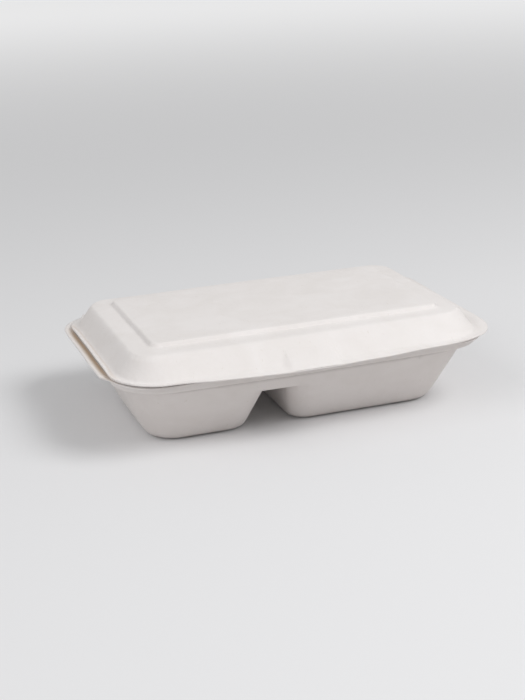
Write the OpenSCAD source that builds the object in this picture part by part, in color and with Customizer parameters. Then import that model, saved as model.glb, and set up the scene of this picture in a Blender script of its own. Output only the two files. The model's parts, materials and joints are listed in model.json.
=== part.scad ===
// Hinged food box in moulded plant fibre, shut: a tray with two compartments under a low domed lid.
// Millimetres. The origin is under the middle of the box, +X runs along its length, +Y to the hinge.

/* [Overall] */
// Length over the tray's rim
box_l = 250; // [220:1:290]
// Width from the bowed front rim to the hinge
box_w = 163; // [150:1:200]
// Height of the tray's rim above the table
tray_h = 47.4; // [40:0.2:60]
// Thickness of the moulded wall
wall_t = 0.9; // [0.6:0.1:1.4]
// How far the middle of the front rim stands out beyond its ends
front_bow = 4; // [0:0.5:6]
// Straight pieces in each rounded corner
corner_steps = 8; // [4:1:12]

/* [Tray rim] */
// Corner radius of the tray's rim
rim_r = 29; // [20:1:36]
// Rim flange beyond the collar at the two ends
rim_end = 5.6; // [3:0.2:9]
// Rim flange beyond the collar at the front and back
rim_side = 3.4; // [2.4:0.2:6]
// Height of the near-upright collar under the rim flange
collar_h = 4.6; // [3:0.2:7]
// How much wider the collar is at its top than at its foot
collar_flare = 0.8; // [0.2:0.1:1.5]
// Ledge under the collar at the two ends
ledge_end = 5.6; // [2:0.2:9]
// Ledge under the collar at the front and back
ledge_side = 1; // [0.6:0.1:3]

/* [Compartments] */
// How far each end wall slopes in from its top to the floor
end_run = 18.2; // [10:0.2:24]
// How far the front and back walls slope in from their top to the floor
side_run = 27.2; // [14:0.2:32]
// Corner radius at the top of the compartments' walls
tub_r_top = 34; // [24:1:38]
// Corner radius at the foot of the compartments' walls
tub_r_foot = 18.6; // [10:0.2:24]
// Rounding between floor and walls
floor_r = 5; // [2:0.5:8]
// Height of the hollow under the divider
divider_h = 32.4; // [22:0.2:35]
// Middle of the divider, measured from the middle of the box
divider_x = -19.6; // [-45:0.2:30]
// Width of the hollow under the divider at its top
divider_w = 14; // [10:0.5:24]
// How far each side of the divider slopes out down to the floor
divider_run = 7; // [4:0.5:12]
// Rounding along the top of the divider
divider_r = 2.5; // [1:0.5:4]
// Plan radius of the compartments' corners at the divider
divider_corner_r = 13; // [6:0.5:16]

/* [Lid] */
// Height of the lid from its flange to its raised panel
lid_h = 17.3; // [13:0.1:26]
// Gap between the two flanges when the lid is shut
shut_gap = 0.3; // [0.2:0.1:0.6]
// How far the lid's flange stops short of the tray's rim at the two ends
lid_short = 4.6; // [1:0.2:5]
// Width of the lid's flange at the two ends
lid_flange_end = 4.2; // [2:0.2:6]
// Width of the lid's flange at the front and back
lid_flange_side = 3.6; // [2.4:0.2:6]
// How far the lid's end walls slope in
lid_end_run = 9.4; // [5:0.2:16]
// How far the lid's front and back walls slope in
lid_side_run = 10.6; // [5:0.2:16]
// Corner radius of the lid's shoulder
shoulder_r = 16; // [10:0.5:24]
// Width of the ledge round the raised panel
lid_ledge = 14; // [5:0.5:20]
// Height of the raised panel above that ledge
panel_step = 2.6; // [1:0.1:4]
// Corner radius of the raised panel
panel_r = 5.5; // [4:0.5:10]

/* [Lock] */
// Middle of the lock, measured from the middle of the box
lock_x = -2.6; // [-10:0.2:10]
// Width of the pocket's flat face in the lid's front wall
pocket_w = 28.6; // [16:0.2:40]
// Width of each slanted side of the pocket
pocket_ramp = 4.6; // [2:0.2:7]
// How far the pocket stands out at its foot
pocket_out = 2.2; // [0.8:0.1:2.6]
// Height of the pocket above the flange
pocket_h = 8; // [5:0.5:10]
// Width of the tray's locking tongue
tongue_w = 20; // [10:0.5:24]
// Height of the tongue above the tray's rim
tongue_h = 5.6; // [3:0.2:6.6]
// Thickness of the tongue
tongue_t = 1.2; // [0.8:0.1:1.6]
// Clearance between the tongue and the inside of the pocket
tongue_gap = 1; // [0.6:0.1:2]

/* [Hidden] */
fibre = [0.93, 0.92, 0.90];
fibre_lid = [0.96, 0.95, 0.93];

// Half sizes of the straight-sided rim that the bow is added to
rim_x = box_l / 2;
rim_y = (box_w - front_bow) / 2;
mid_y = front_bow / 2;

// A wall that leans keeps its thickness when its inner face is moved one wall up or down and in by this
function lean_in(run, rise) = wall_t * (1 - sin(atan(run / rise))) / cos(atan(run / rise));

// Tray outline, from the rim down
collar_z = tray_h - wall_t - collar_h;
collar_x = rim_x - rim_end;
collar_y = rim_y - rim_side;
collar_foot_x = collar_x - collar_flare;
collar_foot_y = collar_y - collar_flare;
tub_x = collar_foot_x - ledge_end;
tub_y = collar_foot_y - ledge_side;
divider_z = min(divider_h, collar_z - wall_t - divider_r);
tray_bow = 0.8 * front_bow;
tub_in_x = lean_in(end_run, collar_z);
tub_in_y = lean_in(side_run, collar_z);
floor_steps = 4;
top_steps = 3;

// Lid outline, from its flange up
lid_z = tray_h + shut_gap;
lid_x = rim_x - lid_short;
lid_y = rim_y;
lid_foot_x = lid_x - lid_flange_end;
lid_foot_y = lid_y - lid_flange_side;
lid_top_z = lid_z + lid_h;
// Rise of the ledge round the raised panel
ledge_slope = 0.4;
shoulder_x = lid_foot_x - lid_end_run;
shoulder_y = lid_foot_y - lid_side_run;
shoulder_z = lid_top_z - panel_step - ledge_slope;
panel_x = shoulder_x - lid_ledge;
panel_y = shoulder_y - lid_ledge;
foot_r = rim_r - lid_flange_side + 1;
wall_rise = shoulder_z - lid_z - wall_t;
lid_in_x = lean_in(lid_end_run, wall_rise);
lid_in_y = lean_in(lid_side_run, wall_rise);

function mix(a, b, t) = a + (b - a) * t;
function clamp(v, low, high) = max(low, min(high, v));

// Points on a quarter arc, counter-clockwise from the angle a0
function arc(cx, cy, r, a0) =
    [for (i = [0:corner_steps]) let (a = a0 + 90 * i / corner_steps) [cx + r * cos(a), cy + r * sin(a)]];
// Points spread evenly between two places, ends left out
function between(a, b, n) = [for (i = [1:n]) mix(a, b, i / (n + 1))];

// The front edge swells out between the corners: strongest at the middle of the front, none at the back
function bowed(p, hx, hy, bow) =
    let (along = 1 - pow(p[0] / hx, 2), forward = clamp((mid_y - p[1]) / hy, 0, 1))
    [p[0], p[1] - bow * along * forward];

// Where the lock's own points lie along the front, and how strongly each belongs to the lock
function lock_stops(width, ramp) =
    let (half = width / 2)
    [for (x = [-half - ramp, -half, -half / 3, half / 3, half, half + ramp]) lock_x + x];
function lock_share(x, width, ramp) = clamp((width / 2 + ramp - abs(x - lock_x)) / ramp, 0, 1);

// A ring of the whole outline: hx, hy half sizes, r corner radius. Its points run counter-clockwise from
// the back, first round the small compartment's end, then round the large one's.
front_small = 5;
front_large = 6;
side_steps = 2;
function small_share(hx, hy, r, x_end) = concat(
    [[x_end, mid_y + hy]],
    arc(-hx + r, mid_y + hy - r, r, 90),
    between([-hx, mid_y + hy - r], [-hx, mid_y - hy + r], side_steps),
    arc(-hx + r, mid_y - hy + r, r, 180),
    between([-hx + r, mid_y - hy], [x_end, mid_y - hy], front_small),
    [[x_end, mid_y - hy]]);
function large_share(hx, hy, r, stops) =
    let (last = stops[len(stops) - 1])
    concat(
        [for (x = stops) [x, mid_y - hy]],
        between([last, mid_y - hy], [hx - r, mid_y - hy], front_large),
        arc(hx - r, mid_y - hy + r, r, 270),
        between([hx, mid_y - hy + r], [hx, mid_y + hy - r], side_steps),
        arc(hx - r, mid_y + hy - r, r, 0),
        [[stops[0], mid_y + hy]]);

// Joins two rings of n points, whose first points have the numbers a and b, with a band of triangles
function band(a, b, n) =
    [for (i = [0:n - 1]) let (j = (i + 1) % n) each [[a + i, a + j, b + j], [a + i, b + j, b + i]]];
// The same for two lists of point numbers that aren't closed
function strip(p, q) = [for (i = [0:len(p) - 2]) each [[p[i], p[i + 1], q[i + 1]], [p[i], q[i + 1], q[i]]]];
function flipped(faces) = [for (f = faces) [for (i = [len(f) - 1:-1:0]) f[i]]];
// Closes a ring of n points that begins at a, with triangles round the point in its middle
function cap(a, n, middle) = [for (i = [0:n - 1]) [a + i, a + (i + 1) % n, middle]];
function middle(ring) = [for (p = ring) 1] * ring / len(ring);
function count(a, n) = [for (i = [0:n - 1]) a + i];

// Tray

// Narrowing of the walls at a height, where they round into the floor
function floor_inset(z) = z < floor_r ? floor_r - sqrt(floor_r * floor_r - pow(floor_r - z, 2)) : 0;
// Widening of the compartments at the divider, where they round over its top
function top_inset(z) =
    let (d = z - (divider_z - divider_r)) d > 0 ? divider_r - sqrt(max(0, divider_r * divider_r - d * d)) : 0;
function wall_x(z) = tub_x - end_run * (1 - z / collar_z) - floor_inset(z);
function wall_y(z) = tub_y - side_run * (1 - z / collar_z) - floor_inset(z);
function wall_r(z) = max(2, mix(tub_r_foot, tub_r_top, z / collar_z) - floor_inset(z));
function divider_side(z) = divider_w / 2 + divider_run * (1 - z / divider_z) - top_inset(z) + floor_inset(z);
function divider_r_at(z) = max(2, divider_corner_r - floor_inset(z));

// Lock stops seen from a compartment: they shrink to the stretch of front wall that it has
stops_rim = lock_stops(tongue_w, tongue_t);
stops_reach = 0.6;
function stops_wall(z) =
    let (a = divider_x + divider_side(z) + divider_r_at(z), b = wall_x(z) - wall_r(z), n = len(stops_rim))
    [for (i = [0:n - 1]) mix(a, b, stops_reach * i / (n - 1))];

tub_levels = concat(
    [for (i = [0:floor_steps]) floor_r * (1 - cos(90 * i / floor_steps))],
    [(floor_r + divider_z - divider_r) / 2],
    [for (i = [0:top_steps]) divider_z - divider_r * (1 - sin(90 * i / top_steps))]);

// One compartment's ring at height z. The inner face is the outer one moved up by the wall and in by the
// lean; in = 0 gives the outer face, in = 1 the inner one.
function place(points, z, in, hx, hy, bow) = [for (p = points)
    let (q = bowed(p, hx, hy, bow)) [q[0], q[1], z + in * wall_t]];
function small_ring(z, in) =
    let (
        hx = wall_x(z) - in * tub_in_x,
        hy = wall_y(z) - in * tub_in_y,
        r = wall_r(z) - in * tub_in_x,
        c = divider_r_at(z),
        side = divider_x - divider_side(z) - in * tub_in_x,
        shared = small_share(hx, hy, r, side - c),
        own = concat(
            [for (i = [1:corner_steps]) arc(side - c, mid_y - hy + c, c, 270)[i]],
            between([side, mid_y - hy + c], [side, mid_y + hy - c], side_steps),
            [for (i = [0:corner_steps - 1]) arc(side - c, mid_y + hy - c, c, 0)[i]]))
    place(concat(shared, own), z, in, hx, hy, tray_bow * z / collar_z);
function large_ring(z, in) =
    let (
        hx = wall_x(z) - in * tub_in_x,
        hy = wall_y(z) - in * tub_in_y,
        r = wall_r(z) - in * tub_in_x,
        c = divider_r_at(z),
        side = divider_x + divider_side(z) + in * tub_in_x,
        shared = large_share(hx, hy, r, [for (x = stops_wall(z)) x + in * tub_in_x]),
        own = concat(
            [for (i = [1:corner_steps]) arc(side + c, mid_y + hy - c, c, 90)[i]],
            between([side, mid_y + hy - c], [side, mid_y - hy + c], side_steps),
            [for (i = [0:corner_steps - 1]) arc(side + c, mid_y - hy + c, c, 180)[i]]))
    place(concat(shared, own), z, in, hx, hy, tray_bow * z / collar_z);

n_small = len(small_share(1, 1, 1, 0));
n_large = len(large_share(1, 1, 1, stops_rim));
n_own = 2 * corner_steps + side_steps;
n_rim = n_small + n_large;

// A ring of the whole rim: z, half sizes, corner radius, lift of the tongue's points and their lean
rim_split = divider_x - divider_side(divider_z) - divider_r_at(divider_z);
function rim_ring(z, hx, hy, r, lift, lean) =
    let (points = concat(small_share(hx, hy, r, rim_split), large_share(hx, hy, r, stops_rim)))
    [for (p = points)
        let (
            q = bowed(p, hx, hy, tray_bow * min(1, z / collar_z)),
            front = p[1] < mid_y ? 1 : 0,
            s = front * lock_share(q[0], tongue_w, tongue_t))
        [q[0], q[1] + s * lean, z + s * lift]];

// Rounding where ledge, collar and flange meet
ledge_r = 0.8;
// How far a rounding's middle lies from its corner
ledge_mid = 0.3 * ledge_r;
// The same across the narrow ledge at the front
ledge_front = 0.3 * ledge_side;
collar_r = rim_r - rim_side + 2;
ledge_corner_r = mix(tub_r_top, collar_r, 0.3);
ledge_in_z = collar_z + ledge_mid + wall_t;
// The tongue leans in far enough to stay clear of the inside of the lid's pocket
tongue_edge = 0.3;
tongue_up = (tray_h + tongue_h - lid_z) / wall_rise;
lid_inside_y = mix(lid_foot_y, shoulder_y, tongue_up) + (1 - tongue_up) * front_bow - lid_in_y;
tongue_lean = max(0, collar_y + tongue_edge + tray_bow - lid_inside_y + tongue_gap);
tongue_back = tongue_lean + tongue_t - tongue_edge;
rim_in = lean_in(collar_flare, collar_h);
flange_z = tray_h - wall_t;
// The mould's outline from the divider's height to the rim: z, half sizes and corner radius of each ring
function outer_rim() = [
    [collar_z, tub_x, tub_y, tub_r_top],
    [collar_z + ledge_mid, tub_x + ledge_r, tub_y + ledge_front, ledge_corner_r],
    [collar_z + ledge_mid, collar_foot_x - ledge_r, collar_foot_y - ledge_front, collar_r],
    [collar_z + ledge_r, collar_foot_x, collar_foot_y, collar_r],
    [flange_z - ledge_r, collar_x - ledge_mid, collar_y - ledge_mid, collar_r],
    [flange_z, collar_x + ledge_r, collar_y + ledge_r, collar_r + ledge_r],
    [flange_z, rim_x, rim_y, rim_r]];
function inner_rim() = [
    [tray_h, rim_x, rim_y, rim_r],
    [tray_h, collar_x + ledge_r, collar_y + ledge_r, collar_r + ledge_r],
    [tray_h, collar_x + tongue_edge, collar_y + tongue_edge, collar_r, tongue_h, tongue_lean],
    [tray_h - ledge_mid, collar_x - rim_in, collar_y - rim_in, collar_r, tongue_h, tongue_back],
    [tray_h - ledge_r, collar_x - ledge_mid - rim_in, collar_y - ledge_mid - rim_in, collar_r],
    [collar_z + ledge_r + wall_t, collar_foot_x - rim_in, collar_foot_y - rim_in, collar_r],
    [ledge_in_z, collar_foot_x - ledge_r - rim_in, collar_foot_y - ledge_front - rim_in, collar_r],
    [ledge_in_z, tub_x + ledge_r - tub_in_x, tub_y + ledge_front - tub_in_y, ledge_corner_r],
    [collar_z + wall_t, tub_x - tub_in_x, tub_y - tub_in_y, tub_r_top]];
rim_rings = [for (v = concat(outer_rim(), inner_rim()))
    rim_ring(v[0], v[1], v[2], v[3], len(v) > 4 ? v[4] : 0, len(v) > 4 ? v[5] : 0)];

module tray() {
    steps = len(tub_levels);
    size_small = n_small + n_own;
    size_large = n_large + n_own;
    size_tub = size_small + size_large;
    rings = [for (in = [0, 1]) each [for (z = tub_levels) each concat(small_ring(z, in), large_ring(z, in))]];
    rims = [for (ring = rim_rings) each ring];
    first_rim = 2 * steps * size_tub;
    middles = [for (in = [0, 1]) each [middle(small_ring(0, in)), middle(large_ring(0, in))]];
    first_middle = first_rim + len(rim_rings) * n_rim;
    last_rim = first_rim + (len(rim_rings) - 1) * n_rim;
    // The numbers of the points that a face of the tray begins with at level i, at the small and large end
    function small_at(in, i) = (in * steps + i) * size_tub;
    function large_at(in, i) = small_at(in, i) + size_small;
    // The shared edge of both compartments at the divider's height, as one ring, and the divider's top
    function joint(in) =
        concat(count(small_at(in, steps - 1), n_small), count(large_at(in, steps - 1), n_large));
    function divider_small(in) =
        let (a = small_at(in, steps - 1)) concat([a + n_small - 1], count(a + n_small, n_own), [a]);
    function divider_large(in) =
        let (a = large_at(in, steps - 1), own = count(a + n_large, n_own))
        concat([a], [for (i = [n_own - 1:-1:0]) own[i]], [a + n_large - 1]);
    function closed(ring) = concat(ring, [ring[0]]);
    function shell(in) = concat(
        [for (i = [0:steps - 2]) each band(small_at(in, i), small_at(in, i + 1), size_small)],
        [for (i = [0:steps - 2]) each band(large_at(in, i), large_at(in, i + 1), size_large)],
        strip(divider_small(in), divider_large(in)),
        flipped(cap(small_at(in, 0), size_small, first_middle + 2 * in)),
        flipped(cap(large_at(in, 0), size_large, first_middle + 2 * in + 1)));
    faces = concat(
        shell(0),
        strip(closed(joint(0)), closed(count(first_rim, n_rim))),
        [for (i = [0:len(rim_rings) - 2])
            each band(first_rim + i * n_rim, first_rim + (i + 1) * n_rim, n_rim)],
        strip(closed(count(last_rim, n_rim)), closed(joint(1))),
        flipped(shell(1)));
    color(fibre) polyhedron(points = concat(rings, rims, middles), faces = flipped(faces), convexity = 10);
}

// Lid

stops_lid = lock_stops(pocket_w, pocket_ramp);
// Rounding along the lid's edges
soft = 1.6;
foot_soft = 0.7 * soft;
// Share of the pocket's height that the rounding at its foot takes
foot_share = 0.1;
// Highest share of the wall that the pocket may take
pocket_top = 0.8;

// A ring of the lid: z, half sizes, corner radius, share of the front bow, how far the pocket stands out
function lid_ring(z, hx, hy, r, bow = 0, out = 0) =
    let (
        split = 2 * stops_lid[0] - stops_lid[1],
        points = concat(small_share(hx, hy, r, split), large_share(hx, hy, r, stops_lid)))
    [for (p = points)
        let (
            q = bowed(p, hx, hy, bow * front_bow),
            front = p[1] < mid_y ? 1 : 0,
            s = front * lock_share(q[0], pocket_w, pocket_ramp))
        [q[0], q[1] - s * out, z]];

// The straight wall at the share t of its rise. Its bow and the pocket on it fade out on the way up.
pocket_t = min(pocket_top, pocket_h / wall_rise);
function wall_ring(t) = lid_ring(mix(lid_z + wall_t, shoulder_z, t), mix(lid_foot_x, shoulder_x, t),
    mix(lid_foot_y, shoulder_y, t), mix(foot_r, shoulder_r, t), 1 - t, pocket_out * max(0, 1 - t / pocket_t));
// A ring round the shoulder or the raised panel, spread by so many times the rounding
function shoulder_ring(z, spread) =
    lid_ring(z, shoulder_x + spread * soft, shoulder_y + spread * soft, shoulder_r + spread * soft / 2);
function panel_ring(z, spread) =
    lid_ring(z, panel_x + spread * soft, panel_y + spread * soft, panel_r + max(spread, spread * soft / 2));
// Rings of the lid's outer face, from its flange's edge to the edge of the raised panel
lid_rings = concat(
    [lid_ring(lid_z + wall_t, lid_x, lid_y, rim_r, 1)],
    [lid_ring(lid_z + wall_t, lid_foot_x + foot_soft, lid_foot_y + foot_soft, foot_r + foot_soft, 1,
        pocket_out)],
    [for (t = [pocket_t * foot_share, pocket_t / 2, pocket_t, (1 + pocket_t) / 2]) wall_ring(t)],
    [shoulder_ring(shoulder_z - 0.12 * soft, -0.4)],
    [shoulder_ring(shoulder_z, -1.6)],
    [panel_ring(shoulder_z + 0.7 * ledge_slope, 1.4)],
    [panel_ring(shoulder_z + 1.5 * ledge_slope, 0.8)],
    [panel_ring(lid_top_z - 0.4 * soft, 0)],
    [panel_ring(lid_top_z - 0.1 * soft, -0.5)],
    [panel_ring(lid_top_z, -1.2)]);
n_lid = n_small + n_large;

module lid() {
    steps = len(lid_rings);
    outer = [for (ring = lid_rings) each ring];
    // The inner face is the outer one moved down by the wall, and in by the lean everywhere but at the edge
    inner = [for (i = [0:steps - 1]) each [for (p = lid_rings[i])
        i == 0 ? [p[0], p[1], p[2] - wall_t] :
        [
            p[0] - sign(p[0]) * min(abs(p[0]), lid_in_x),
            p[1] - sign(p[1] - mid_y) * lid_in_y,
            p[2] - wall_t]]];
    half = steps * n_lid;
    middle_top = middle(lid_rings[steps - 1]);
    faces = concat(
        [for (i = [0:steps - 2]) each band(i * n_lid, (i + 1) * n_lid, n_lid)],
        cap(half - n_lid, n_lid, 2 * half),
        flipped([for (i = [0:steps - 2]) each band(half + i * n_lid, half + (i + 1) * n_lid, n_lid)]),
        flipped(cap(2 * half - n_lid, n_lid, 2 * half + 1)),
        flipped(band(0, half, n_lid)));
    color(fibre_lid) polyhedron(
        points = concat(outer, inner, [middle_top, middle_top - [0, 0, wall_t]]),
        faces = flipped(faces),
        convexity = 10);
}

tray();
lid();
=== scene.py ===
"""Hinged food box in moulded plant fibre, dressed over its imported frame."""

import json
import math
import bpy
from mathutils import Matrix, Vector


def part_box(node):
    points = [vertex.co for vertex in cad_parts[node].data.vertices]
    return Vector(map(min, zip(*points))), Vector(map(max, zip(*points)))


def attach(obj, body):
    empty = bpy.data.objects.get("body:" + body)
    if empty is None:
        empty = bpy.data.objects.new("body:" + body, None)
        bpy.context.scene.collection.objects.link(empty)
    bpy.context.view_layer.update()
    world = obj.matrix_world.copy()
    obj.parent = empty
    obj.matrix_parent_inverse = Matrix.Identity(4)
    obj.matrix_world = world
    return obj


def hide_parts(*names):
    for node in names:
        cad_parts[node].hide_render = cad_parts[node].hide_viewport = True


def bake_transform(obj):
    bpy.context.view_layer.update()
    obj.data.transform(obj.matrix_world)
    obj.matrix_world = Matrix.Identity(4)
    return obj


bl_info = {
    "name": "Moulded fibre food box",
    "version": (1, 0, 0),
    "blender": (4, 5, 0),
    "location": "View3D > Sidebar > Food box",
    "description": "Builds the tray, lid and fold of a hinged food box in pressed plant fibre",
    "category": "Object",
}

import bpy
from bpy.props import FloatProperty, FloatVectorProperty, IntProperty, PointerProperty
from mathutils import Vector

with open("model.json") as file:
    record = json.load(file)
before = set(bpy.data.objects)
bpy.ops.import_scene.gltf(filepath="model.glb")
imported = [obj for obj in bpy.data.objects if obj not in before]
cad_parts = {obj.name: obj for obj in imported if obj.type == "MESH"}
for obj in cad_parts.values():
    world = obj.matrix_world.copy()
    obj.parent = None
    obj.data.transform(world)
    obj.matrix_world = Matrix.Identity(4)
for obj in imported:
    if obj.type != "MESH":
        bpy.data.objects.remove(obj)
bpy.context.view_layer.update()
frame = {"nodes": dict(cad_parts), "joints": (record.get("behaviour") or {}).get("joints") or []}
TRAY_LOW, TRAY_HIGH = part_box("tray")
LID_LOW, LID_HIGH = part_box("lid")
PIVOT = Vector(frame["joints"][0]["pos_m"])


class FoodBoxSizes(bpy.types.PropertyGroup):
    """Sizes of what the frame leaves to the looks"""

    smoothing: IntProperty(
        name="Smoothing",
        description="Levels of subdivision on tray and lid",
        default=2,
        min=0,
        max=3,
    )
    crispness: FloatProperty(
        name="Crispness",
        description="How sharp the pressed edges of rim, foot and lock stay",
        default=0.8,
        min=0.0,
        max=1.0,
    )
    panel_crispness: FloatProperty(
        name="Panel crispness",
        description="How sharp the edges of the raised panel and its shoulder stay",
        default=0.45,
        min=0.0,
        max=1.0,
    )
    wall: FloatProperty(
        name="Wall",
        description="Thickness of the pressed wall",
        default=0.0009,
        min=0.0005,
        max=0.002,
        unit="LENGTH",
        precision=5,
    )
    fold_half: FloatProperty(
        name="Fold half length",
        description="Half the length of the fold between tray and lid",
        default=0.1065,
        min=0.08,
        max=0.115,
        unit="LENGTH",
    )
    droop: FloatProperty(
        name="Front droop",
        description="How far the lid's front flange bends down over the tray's rim",
        default=0.0012,
        min=0.0,
        max=0.004,
        unit="LENGTH",
        precision=5,
    )
    lift: FloatProperty(
        name="End lift",
        description="How far the lid's flange stands open at the small compartment's end",
        default=0.0016,
        min=0.0,
        max=0.003,
        unit="LENGTH",
        precision=5,
    )
    overlap: FloatProperty(
        name="End overlap",
        description="How far the lid's flange reaches over the rim at the large compartment's end",
        default=0.0043,
        min=0.0,
        max=0.006,
        unit="LENGTH",
        precision=5,
    )
    lock_out: FloatProperty(
        name="Lock depth",
        description="How much further the lock's pocket stands out at its foot",
        default=0.0019,
        min=0.0,
        max=0.003,
        unit="LENGTH",
        precision=5,
    )
    waviness: FloatProperty(
        name="Waviness",
        description="How far the pressed sheet strays from its mould",
        default=0.0005,
        min=0.0,
        max=0.002,
        unit="LENGTH",
        precision=5,
    )


class FoodBoxFinish(bpy.types.PropertyGroup):
    """Colours and grain of the pressed fibre, with the colours of its painted shades"""

    pulp: FloatVectorProperty(
        name="Pulp",
        description="Colour of the bleached fibre",
        default=(0.83, 0.797, 0.783),
        size=3,
        min=0.0,
        max=1.0,
        subtype="COLOR",
    )
    pulp_shade: FloatVectorProperty(
        name="Pulp shade",
        description="Colour of its slightly darker clouds",
        default=(0.80, 0.764, 0.745),
        size=3,
        min=0.0,
        max=1.0,
        subtype="COLOR",
    )
    fleck: FloatVectorProperty(
        name="Fleck",
        description="Colour of the sparse darker fibres",
        default=(0.60, 0.54, 0.46),
        size=3,
        min=0.0,
        max=1.0,
        subtype="COLOR",
    )
    # Painted shade: a dark tan laid on the rims' faces in the gap under the lid's flange at the
    # small compartment's end, where shade falls.
    gap_shade: FloatVectorProperty(
        name="Painted gap shade",
        description="Colour of the rims' faces that lie on each other at the open end",
        default=(0.60, 0.44, 0.30),
        size=3,
        min=0.0,
        max=1.0,
        subtype="COLOR",
    )
    # Painted shade laid in the corner under the collar, where shade falls, not a colour of the
    # fibre.
    painted_crevice_shade: FloatVectorProperty(
        name="Crevice",
        description="Colour of the fibre pressed into the corner under the collar",
        default=(0.60, 0.57, 0.55),
        size=3,
        min=0.0,
        max=1.0,
        subtype="COLOR",
    )
    grain: FloatProperty(
        name="Grain",
        description="Depth of the felted grain",
        default=0.00012,
        min=0.0,
        max=0.001,
        unit="LENGTH",
        precision=5,
    )


class FoodBoxStage(bpy.types.PropertyGroup):
    """Camera, floor and lamps"""

    camera_place: FloatVectorProperty(
        name="Camera",
        description="Where the camera stands",
        default=(-0.2815994, -0.80727588, 0.31982676),
        size=3,
        subtype="TRANSLATION",
        unit="LENGTH",
    )
    camera_turn: FloatVectorProperty(
        name="Camera turn",
        description="How the camera is turned",
        default=tuple(math.radians(v) for v in (71.4453855, 2.0798473, -19.4335871)),
        size=3,
        subtype="EULER",
        unit="ROTATION",
    )
    lens: FloatProperty(
        name="Lens",
        description="Focal length on a sensor 36 mm long, in millimetres",
        default=71.59,
        min=20.0,
        max=200.0,
    )
    floor: FloatVectorProperty(
        name="Floor",
        description="Colour of the floor as the camera sees it",
        default=(0.80, 0.80, 0.81),
        size=3,
        min=0.0,
        max=1.0,
        subtype="COLOR",
    )
    floor_bounce: FloatVectorProperty(
        name="Floor bounce",
        description="Colour with which the floor lights the box from below",
        default=(0.64, 0.62, 0.615),
        size=3,
        min=0.0,
        max=1.0,
        subtype="COLOR",
    )


def sizes():
    return bpy.context.scene.food_box_sizes


def finish():
    return bpy.context.scene.food_box_finish


def select_none():
    if bpy.context.object and bpy.context.object.mode != "OBJECT":
        bpy.ops.object.mode_set(mode="OBJECT")
    bpy.ops.object.select_all(action="DESELECT")


def make_active(piece):
    select_none()
    piece.select_set(True)
    bpy.context.view_layer.objects.active = piece


def apply_modifier(piece, kind, name, **values):
    """Adds a modifier with these values and applies it."""
    make_active(piece)
    modifier = piece.modifiers.new(name, kind)
    for key, value in values.items():
        setattr(modifier, key, value)
    bpy.ops.object.modifier_apply(modifier=modifier.name)


def soft_step(value, low, high):
    """0 up to low, 1 from high on, and a smooth rise between them."""
    share = min(1.0, max(0.0, (value - low) / (high - low)))
    return share * share * (3 - 2 * share)


def skin_of(node, name):
    """A copy of a CAD node as one closed skin of four-sided faces."""
    piece = bpy.data.objects.new(name, frame["nodes"][node].data.copy())
    bpy.context.scene.collection.objects.link(piece)
    piece.data.name = name
    piece.data.materials.clear()
    make_active(piece)
    bpy.ops.object.mode_set(mode="EDIT")
    bpy.ops.mesh.select_all(action="SELECT")
    bpy.ops.mesh.remove_doubles(threshold=0.000005)
    bpy.ops.mesh.tris_convert_to_quads(
        face_threshold=math.radians(60), shape_threshold=math.radians(80)
    )
    bpy.ops.object.mode_set(mode="OBJECT")
    bpy.ops.object.shade_smooth()
    return piece


def crease_edges(piece, chosen, value, sharpness=17):
    """Creases the edges of a piece that bend by so many degrees and lie where the test says."""
    make_active(piece)
    bpy.ops.object.mode_set(mode="EDIT")
    bpy.ops.mesh.select_mode(type="EDGE")
    bpy.ops.mesh.select_all(action="DESELECT")
    bpy.ops.mesh.edges_select_sharp(sharpness=math.radians(sharpness))
    bpy.ops.object.mode_set(mode="OBJECT")
    points = piece.data.vertices
    for edge in piece.data.edges:
        middle = (points[edge.vertices[0]].co + points[edge.vertices[1]].co) / 2
        edge.select = edge.select and chosen(middle)
    bpy.ops.object.mode_set(mode="EDIT")
    bpy.ops.transform.edge_crease(value=value)
    bpy.ops.object.mode_set(mode="OBJECT")


def bend(piece, name, axis, amount, share):
    """Moves the points of a piece along an axis, each by its share of the amount."""
    group = piece.vertex_groups.new(name=name)
    for point in piece.data.vertices:
        weight = share(point.co)
        if weight > 0:
            group.add([point.index], weight, "REPLACE")
    apply_modifier(
        piece,
        "DISPLACE",
        name,
        direction=axis,
        strength=amount,
        mid_level=0,
        vertex_group=group.name,
    )


def mark(piece, name, share):
    """Marks a piece's points with their share of a painted shade that the finish reads."""
    marks = piece.data.attributes.new(name, "FLOAT", "POINT")
    for point, entry in zip(piece.data.vertices, marks.data):
        entry.value = share(point.co)


def wave(piece):
    """Lets the sheet stray a little from its mould, both faces alike, above the flat foot."""
    free = piece.vertex_groups.new(name="free")
    for point in piece.data.vertices:
        free.add([point.index], soft_step(point.co.z, FOOT_FLAT, FOOT_FREE), "REPLACE")
    clouds = bpy.data.textures.get("drying") or bpy.data.textures.new("drying", "CLOUDS")
    clouds.noise_scale = 0.045
    clouds.noise_depth = 1
    clouds.cloud_type = "COLOR"
    apply_modifier(
        piece,
        "DISPLACE",
        "Drying",
        texture=clouds,
        texture_coords="LOCAL",
        direction="RGB_TO_XYZ",
        strength=sizes().waviness,
        mid_level=0.5,
        vertex_group=free.name,
    )


class Outline:
    """A rounded outline with a bowed front, and how far a point lies outside it."""

    def __init__(self, half_x, half_y, radius, bow):
        self.half_x, self.half_y, self.radius, self.bow = half_x, half_y, radius, bow

    def beyond(self, point):
        forward = min(1.0, max(0.0, (MID_Y - point.y) / self.half_y))
        along = 1 - (point.x / self.half_x) ** 2
        y = point.y + self.bow * along * forward
        across = Vector(
            (
                abs(point.x) - self.half_x + self.radius,
                abs(y - MID_Y) - self.half_y + self.radius,
            )
        )
        outside = Vector((max(across.x, 0), max(across.y, 0)))
        return outside.length + min(max(across.x, across.y), 0) - self.radius

    def share(self, point, width):
        """0 on the outline and 1 a flange's width beyond it."""
        return min(1.0, max(0.0, self.beyond(point) / width))


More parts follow.
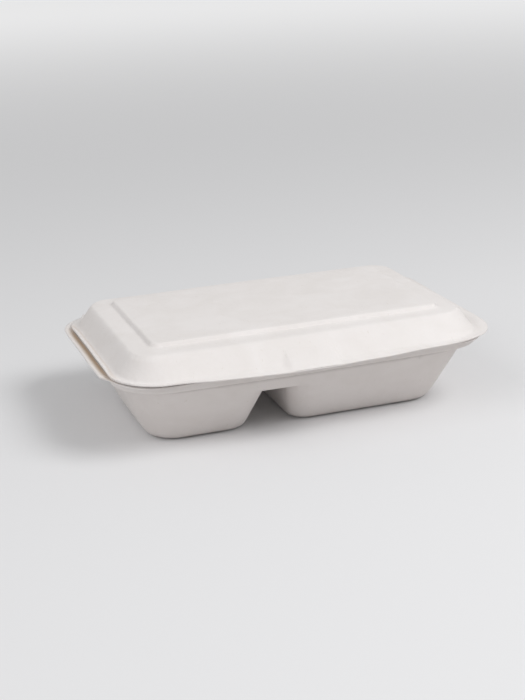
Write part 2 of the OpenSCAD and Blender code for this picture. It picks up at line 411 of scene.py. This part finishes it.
MID_Y = 0.002
FOOT_FLAT = 0.002
FOOT_FREE = 0.012
RIM_Z = 0.0474
LOCK_X = -0.0026
LOCK_SIDE = 0.0165
LOCK_END = 0.0195
LOCK_BACK = -0.0683
LOCK_FOOT_Z = LID_LOW[2] + 0.001
LOCK_RISE = 0.0079
LOCK_TOP_Z = LID_LOW[2] + 0.0115
LID_EDGE = -0.08125
RIM_BACK = 0.0815
EAR_RUN = 0.006
COLLAR = Outline(0.1194, 0.0761, 0.0276, 0.0032)
COLLAR_FLANGE = 0.0034
COLLAR_END = 0.0056
COLLAR_FOOT_Z = 0.04205
LID_FOOT = Outline(0.1162, 0.0759, 0.0264, 0.004)
LID_FLANGE = 0.0036
GLOW_FROM = 0.35
GLOW_TO = 3.2
GLOW = 0.42
SKY = 0.45
AIM = Vector((0, 0, 0.03))
LAMPS = (
    ("key", (0.78, -0.78, 1.22), 0.8, 14.0),
    ("fill", (-1.4, -0.4, 1.1), 1.4, 8.0),
)


def front_share(point):
    """Strongest along the front edge, none at the back."""
    return soft_step(-point.y, 0.045, 0.07)


def small_end(point):
    across = soft_step(point.y, -0.066, -0.03) * soft_step(-point.y, -0.066, -0.04)
    return soft_step(-point.x, 0.095, 0.112) * across


def small_corner(point):
    """The front corner at the small compartment's end."""
    return soft_step(-point.x, 0.08, 0.11) * soft_step(-point.y, 0.043, 0.053)


def large_end(point):
    return soft_step(point.x, 0.095, 0.118)


def ear(point):
    """The rims run on straight past the fold's ends before they turn round the corners."""
    return soft_step(-abs(point.x), -0.109, -0.1068) * soft_step(point.y, 0.06, 0.07)


def straight_back(point):
    """How far a point of a rim at its back is from the straight line of the fold."""
    return ear(point) * min(1.0, max(0.0, (RIM_BACK - point.y) / EAR_RUN))


def tab(point):
    """The stretch of the front rim in front of the lock."""
    across = soft_step(point.x, -0.012, -0.004) * soft_step(-point.x, -0.0145, -0.0065)
    return across * front_share(point)


def in_lock(point):
    """Whether a point of the lid belongs to the lock's pocket."""
    return abs(point.x - LOCK_X) < LOCK_END and point.y < -0.06 and point.z < LOCK_TOP_Z


def lock_rise(point):
    """0 at the pocket's foot and 1 at its top."""
    return min(1.0, max(0.0, (point.z - LOCK_FOOT_Z) / LOCK_RISE))


def lock_end(point, turn):
    """How strongly the outer edge of the pocket's one side leans in, to end in a peak."""
    out = (point.x - LOCK_X) * turn
    return lock_rise(point) if in_lock(point) and out > LOCK_SIDE else 0


def lid_edge(point):
    """Whether a point lies on the outer edge of the lid's front flange."""
    return point.z < LOCK_FOOT_Z and point.y < LID_EDGE


def lock_face(point):
    """The pocket's face, most at its foot and none at its top."""
    inside = in_lock(point) and point.y < LOCK_BACK and not lid_edge(point)
    return 1 - lock_rise(point) if inside and abs(point.x - LOCK_X) < LOCK_SIDE else 0


def lid_tab(point):
    """The edge of the lid's flange in front of the lock."""
    return lid_edge(point) * soft_step(-abs(point.x - LOCK_X), -0.034, -0.015)


def new_material(name):
    material = bpy.data.materials.new(name)
    material.use_nodes = True
    nodes = material.node_tree.nodes
    nodes.clear()
    output = nodes.new("ShaderNodeOutputMaterial")
    shader = nodes.new("ShaderNodeBsdfPrincipled")
    material.node_tree.links.new(shader.outputs["BSDF"], output.inputs["Surface"])
    return material, nodes, material.node_tree.links, shader


def grain_noise(nodes, links, coordinates, scale, stretch, turn, detail):
    """Noise drawn out along one direction, as felted fibres are."""
    mapping = nodes.new("ShaderNodeMapping")
    mapping.inputs["Rotation"].default_value = turn
    mapping.inputs["Scale"].default_value = stretch
    links.new(coordinates.outputs["Object"], mapping.inputs["Vector"])
    noise = nodes.new("ShaderNodeTexNoise")
    noise.inputs["Scale"].default_value = scale
    noise.inputs["Detail"].default_value = detail
    noise.inputs["Roughness"].default_value = 0.6
    noise.inputs["Distortion"].default_value = 0.6
    links.new(mapping.outputs["Vector"], noise.inputs["Vector"])
    return noise


def pressed_fibre(name):
    """Matt off-white pulp with soft clouds of tone, sparse flecks, painted shade in the rims' gap
    and under the collar, and a felted grain in relief.
    """
    material, nodes, links, shader = new_material(name)
    look = finish()
    coordinates = nodes.new("ShaderNodeTexCoord")

    clouds = grain_noise(nodes, links, coordinates, 38, (1, 1, 1), (0, 0, 0), 4)
    tone = nodes.new("ShaderNodeValToRGB")
    tone.color_ramp.elements[0].position = 0.35
    tone.color_ramp.elements[0].color = (*look.pulp_shade, 1)
    tone.color_ramp.elements[1].position = 0.62
    tone.color_ramp.elements[1].color = (*look.pulp, 1)
    links.new(clouds.outputs["Fac"], tone.inputs["Fac"])

    flecks = grain_noise(nodes, links, coordinates, 620, (1, 0.35, 0.6), (0.4, 0.2, 0.9), 1)
    sparse = nodes.new("ShaderNodeValToRGB")
    sparse.color_ramp.elements[0].position = 0.70
    sparse.color_ramp.elements[0].color = (0, 0, 0, 1)
    sparse.color_ramp.elements[1].position = 0.80
    sparse.color_ramp.elements[1].color = (0.25, 0.25, 0.25, 1)
    links.new(flecks.outputs["Fac"], sparse.inputs["Fac"])
    colour = nodes.new("ShaderNodeMix")
    colour.data_type = "RGBA"
    colour.inputs["B"].default_value = (*look.fleck, 1)
    links.new(sparse.outputs["Color"], colour.inputs["Factor"])
    links.new(tone.outputs["Color"], colour.inputs["A"])
    # The attribute read here marks painted shade: a dark tan mixed into the colour where the rims
    # lie in shade under the lid's flange.
    pressed = nodes.new("ShaderNodeAttribute")
    pressed.attribute_name = "painted_gap_shade"
    gap_shaded = nodes.new("ShaderNodeMix")
    gap_shaded.data_type = "RGBA"
    gap_shaded.inputs["B"].default_value = (*look.gap_shade, 1)
    links.new(pressed.outputs["Fac"], gap_shaded.inputs["Factor"])
    links.new(colour.outputs["Result"], gap_shaded.inputs["A"])
    # The attribute read here marks painted shade: a darker colour mixed in at the corner under the
    # collar, where shade falls.
    corner = nodes.new("ShaderNodeAttribute")
    corner.attribute_name = "painted_crevice_shade"
    under_collar_shaded = nodes.new("ShaderNodeMix")
    under_collar_shaded.data_type = "RGBA"
    under_collar_shaded.inputs["B"].default_value = (*look.painted_crevice_shade, 1)
    links.new(corner.outputs["Fac"], under_collar_shaded.inputs["Factor"])
    links.new(gap_shaded.outputs["Result"], under_collar_shaded.inputs["A"])
    links.new(under_collar_shaded.outputs["Result"], shader.inputs["Base Color"])

    along = grain_noise(nodes, links, coordinates, 700, (1, 0.22, 0.5), (0, 0, 0.5), 3)
    across = grain_noise(nodes, links, coordinates, 760, (0.22, 1, 0.5), (0, 0, -0.3), 3)
    felt = nodes.new("ShaderNodeMath")
    felt.operation = "ADD"
    links.new(along.outputs["Fac"], felt.inputs[0])
    links.new(across.outputs["Fac"], felt.inputs[1])
    swell = grain_noise(nodes, links, coordinates, 70, (1, 1, 1), (0, 0, 0), 3)
    grain = nodes.new("ShaderNodeBump")
    grain.inputs["Strength"].default_value = 0.35
    grain.inputs["Distance"].default_value = look.grain
    links.new(felt.outputs["Value"], grain.inputs["Height"])
    relief = nodes.new("ShaderNodeBump")
    relief.inputs["Strength"].default_value = 0.35
    relief.inputs["Distance"].default_value = 0.0012
    links.new(swell.outputs["Fac"], relief.inputs["Height"])
    links.new(grain.outputs["Normal"], relief.inputs["Normal"])
    links.new(relief.outputs["Normal"], shader.inputs["Normal"])

    matt = nodes.new("ShaderNodeMapRange")
    matt.inputs["To Min"].default_value = 0.55
    matt.inputs["To Max"].default_value = 0.78
    links.new(clouds.outputs["Fac"], matt.inputs["Value"])
    links.new(matt.outputs["Result"], shader.inputs["Roughness"])
    shader.inputs["Specular IOR Level"].default_value = 0.35
    shader.inputs["Sheen Weight"].default_value = 0.06
    return material


def fibre():
    return bpy.data.materials.get("pressed_fibre") or pressed_fibre("pressed_fibre")


class FOODBOX_OT_tray(bpy.types.Operator):
    """Smooth the tray's skin and give it the fibre finish"""

    bl_idname = "food_box.tray"
    bl_label = "Tray"

    def execute(self, context):
        tray = skin_of("tray", "fibre_tray")
        crease_edges(tray, lambda place: place.z > 0.035, sizes().crispness)
        apply_modifier(
            tray, "SUBSURF", "Soft edges", levels=sizes().smoothing, render_levels=sizes().smoothing
        )

        def rim(point, width=COLLAR_FLANGE):
            return COLLAR.share(point, width) if point.z > 0.045 else 0

        def undercut(point):
            below = point.z < COLLAR_FOOT_Z and COLLAR.beyond(point) > -0.02
            return soft_step(point.z, 0.032, 0.041) * front_share(point) * below

        def tucked(point):
            return rim(point) * front_share(point) * (1 - tab(point))

        def raised(point):
            return rim(point) * large_end(point) * (1 - front_share(point))

        # Painted shade: share of the darker colour in the corner under the collar.
        def painted_crevice_shade(point):
            under = soft_step(point.z, 0.0395, 0.0412) * (point.z < COLLAR_FOOT_Z)
            return under * (COLLAR.beyond(point) > -0.02)

        # Painted shade: share of the dark tan on the rim's top that lies in the gap under the lid's
        # flange at the small end.
        def shaded_rim(point):
            inward = soft_step(point.x, -0.1245, -0.1203) * rim(point, 0.001)
            return inward * soft_step(point.z, 0.0469, 0.0472) * small_end(point)

        bend(tray, "Undercut", "Y", 0.0009, undercut)
        bend(tray, "Tucked under the lid", "Y", 0.0018, tucked)
        bend(tray, "Tucked corner", "X", 0.0042, lambda p: rim(p, COLLAR_END) * small_corner(p))
        bend(tray, "Front sag", "Z", -0.0005, lambda p: rim(p) * front_share(p))
        bend(tray, "Tab", "Z", -0.0015, lambda p: rim(p) * tab(p))
        bend(tray, "Tucked end", "X", -0.0038, lambda p: rim(p, COLLAR_END) * large_end(p))
        bend(tray, "Raised end", "Z", 0.0012, raised)
        bend(tray, "Ears", "Y", EAR_RUN, lambda p: rim(p) * straight_back(p))
        # Both marks carry painted shade for the finish.
        mark(tray, "painted_gap_shade", shaded_rim)
        mark(tray, "painted_crevice_shade", painted_crevice_shade)
        wave(tray)
        tray.data.materials.append(fibre())
        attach(tray, "tray")
        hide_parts("tray")
        return {"FINISHED"}


class FOODBOX_OT_lid(bpy.types.Operator):
    """Smooth the lid's skin and give it the fibre finish"""

    bl_idname = "food_box.lid"
    bl_label = "Lid"

    def execute(self, context):
        lid = skin_of("lid", "fibre_lid")
        bend(lid, "Lid tab", "Y", -0.0016, lid_tab)
        bend(lid, "Lock face", "Y", -sizes().lock_out, lock_face)
        for turn in (-1, 1):
            bend(lid, "Lock peak", "X", -0.004 * turn, lambda p: lock_end(p, turn))
        crease_edges(
            lid, lambda p: p.z < LID_LOW[2] + 0.010 and not in_lock(p), sizes().crispness
        )
        crease_edges(lid, lambda p: p.z > LID_HIGH[2] - 0.0029, sizes().panel_crispness)
        crease_edges(lid, in_lock, 1, sharpness=5)
        apply_modifier(
            lid, "SUBSURF", "Soft edges", levels=sizes().smoothing, render_levels=sizes().smoothing
        )

        def flange(point):
            return LID_FOOT.share(point, LID_FLANGE) if point.z < LID_LOW[2] + 0.002 else 0

        def lean(point):
            height = soft_step(point.z, LID_LOW[2] + 0.002, LID_HIGH[2] - 0.003)
            ledge = soft_step(-point.y, 0.0505, 0.056)
            return height * ledge * soft_step(point.x, -0.05, 0.09)

        def front_drop(point):
            between = soft_step(point.x, -0.075, -0.035) * soft_step(-point.x, -0.07, -0.04)
            return flange(point) * front_share(point) * between

        def corner_rise(point):
            small = soft_step(-point.x, 0.062, 0.088)
            large = 0.6 * soft_step(point.x, 0.08, 0.105)
            return flange(point) * front_share(point) * (small + large)

        def raised(point):
            return flange(point) * large_end(point) * (1 - front_share(point))

        # Painted shade: share of the dark tan on the flange's underside that lies over the gap at
        # the small end.
        def shaded_rim(point):
            return 0.8 * flange(point) * soft_step(-point.z, -0.0495, -0.0491) * small_end(point)

        bend(lid, "Front lean", "Y", 0.0022, lean)
        bend(lid, "Front droop", "Z", -sizes().droop, front_drop)
        bend(lid, "Raised corners", "Z", 0.0011, corner_rise)
        bend(lid, "Front overhang", "Y", -0.0006, lambda p: flange(p) * front_share(p))
        bend(lid, "Open end", "Z", sizes().lift, lambda p: flange(p) * small_end(p))
        bend(lid, "End overlap", "X", sizes().overlap, lambda p: flange(p) * large_end(p))
        bend(lid, "Raised end", "Z", 0.002, raised)
        bend(lid, "Ears", "Y", EAR_RUN, lambda p: flange(p) * straight_back(p))
        # This mark carries painted shade for the finish.
        mark(lid, "painted_gap_shade", shaded_rim)
        wave(lid)
        lid.data.materials.append(fibre())
        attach(lid, "lid")
        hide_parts("lid")
        return {"FINISHED"}


class FOODBOX_OT_fold(bpy.types.Operator):
    """Turn the fold that joins the two rims along the back"""

    bl_idname = "food_box.fold"
    bl_label = "Fold"

    def execute(self, context):
        half = sizes().fold_half
        wall = sizes().wall
        select_none()
        bpy.ops.mesh.primitive_grid_add(
            x_subdivisions=40,
            y_subdivisions=2,
            size=1,
            location=(0, RIM_BACK, RIM_Z - wall / 2),
            rotation=(math.pi / 2, 0, 0),
        )
        fold = context.object
        fold.name = "fibre_fold"
        fold.scale = (2 * half, wall, 1)
        bpy.ops.object.transform_apply(location=True, rotation=True, scale=True)
        bpy.ops.object.mode_set(mode="EDIT")
        bpy.ops.mesh.select_all(action="SELECT")
        bpy.ops.mesh.spin(
            steps=10, angle=math.pi, center=(0, RIM_BACK, PIVOT.z), axis=(1, 0, 0)
        )
        bpy.ops.mesh.select_all(action="SELECT")
        bpy.ops.mesh.remove_doubles(threshold=0.000005)
        bpy.ops.mesh.normals_make_consistent(inside=False)
        bpy.ops.object.mode_set(mode="OBJECT")
        bpy.ops.object.shade_smooth_by_angle(angle=math.radians(40))
        wave(fold)
        fold.data.materials.append(fibre())
        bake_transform(fold)
        return {"FINISHED"}


class FOODBOX_OT_stage(bpy.types.Operator):
    """Set up the floor, the lamps and the camera"""

    bl_idname = "food_box.stage"
    bl_label = "Stage"

    def execute(self, context):
        stage = context.scene.food_box_stage
        select_none()
        bpy.ops.mesh.primitive_plane_add(size=12, location=(0, 0, 0))
        floor = context.object
        floor.name = "floor"
        material, nodes, links, shader = new_material("floor")
        path = nodes.new("ShaderNodeLightPath")
        seen = nodes.new("ShaderNodeMath")
        seen.operation = "ADD"
        seen.use_clamp = True
        links.new(path.outputs["Is Camera Ray"], seen.inputs[0])
        links.new(path.outputs["Is Glossy Ray"], seen.inputs[1])
        through = nodes.new("ShaderNodeMath")
        through.operation = "ADD"
        through.use_clamp = True
        links.new(seen.outputs["Value"], through.inputs[0])
        links.new(path.outputs["Is Transmission Ray"], through.inputs[1])
        colour = nodes.new("ShaderNodeMix")
        colour.data_type = "RGBA"
        colour.inputs["A"].default_value = (*stage.floor_bounce, 1)
        colour.inputs["B"].default_value = (*stage.floor, 1)
        links.new(through.outputs["Value"], colour.inputs["Factor"])
        links.new(colour.outputs["Result"], shader.inputs["Base Color"])
        shader.inputs["Roughness"].default_value = 0.9
        place = nodes.new("ShaderNodeTexCoord")
        distance = nodes.new("ShaderNodeVectorMath")
        distance.operation = "LENGTH"
        links.new(place.outputs["Object"], distance.inputs[0])
        far = nodes.new("ShaderNodeMapRange")
        far.interpolation_type = "SMOOTHSTEP"
        far.inputs["From Min"].default_value = GLOW_FROM
        far.inputs["From Max"].default_value = GLOW_TO
        far.inputs["To Max"].default_value = GLOW
        links.new(distance.outputs["Value"], far.inputs["Value"])
        glow = nodes.new("ShaderNodeMath")
        glow.operation = "MULTIPLY"
        links.new(far.outputs["Result"], glow.inputs[0])
        links.new(through.outputs["Value"], glow.inputs[1])
        shader.inputs["Emission Color"].default_value = (1, 1, 1, 1)
        links.new(glow.outputs["Value"], shader.inputs["Emission Strength"])
        floor.data.materials.append(material)

        world = bpy.data.worlds.new("studio")
        context.scene.world = world
        world.use_nodes = True
        world.node_tree.nodes["Background"].inputs["Color"].default_value = (1, 1, 1, 1)
        world.node_tree.nodes["Background"].inputs["Strength"].default_value = SKY

        for name, place, size, power in LAMPS:
            bpy.ops.object.light_add(type="AREA", location=place)
            lamp = context.object
            lamp.name = name
            lamp.data.size = size
            lamp.data.energy = power
            lamp.rotation_euler = (AIM - Vector(place)).to_track_quat("-Z", "Y").to_euler()

        bpy.ops.object.camera_add(location=stage.camera_place, rotation=stage.camera_turn)
        camera = context.object
        camera.name = "camera"
        camera.data.sensor_width = 36
        camera.data.lens = stage.lens
        context.scene.camera = camera
        context.scene.view_settings.view_transform = "Standard"
        return {"FINISHED"}


class FOODBOX_PT_panel(bpy.types.Panel):
    """The food box's pieces and its stage"""

    bl_idname = "FOODBOX_PT_panel"
    bl_label = "Food box"
    bl_space_type = "VIEW_3D"
    bl_region_type = "UI"
    bl_category = "Food box"

    def draw(self, context):
        for operator in OPERATORS:
            self.layout.operator(operator.bl_idname)


GROUPS = (
    ("food_box_sizes", FoodBoxSizes),
    ("food_box_finish", FoodBoxFinish),
    ("food_box_stage", FoodBoxStage),
)
OPERATORS = (FOODBOX_OT_tray, FOODBOX_OT_lid, FOODBOX_OT_fold, FOODBOX_OT_stage)


def register():
    for name, group in GROUPS:
        bpy.utils.register_class(group)
        setattr(bpy.types.Scene, name, PointerProperty(type=group))
    for operator in OPERATORS:
        bpy.utils.register_class(operator)
    bpy.utils.register_class(FOODBOX_PT_panel)


def unregister():
    bpy.utils.unregister_class(FOODBOX_PT_panel)
    for operator in reversed(OPERATORS):
        bpy.utils.unregister_class(operator)
    for name, group in reversed(GROUPS):
        delattr(bpy.types.Scene, name)
        bpy.utils.unregister_class(group)


def main():
    register()
    bpy.ops.food_box.tray()
    bpy.ops.food_box.lid()
    bpy.ops.food_box.fold()
    bpy.ops.food_box.stage()


if __name__ == "__main__":
    main()
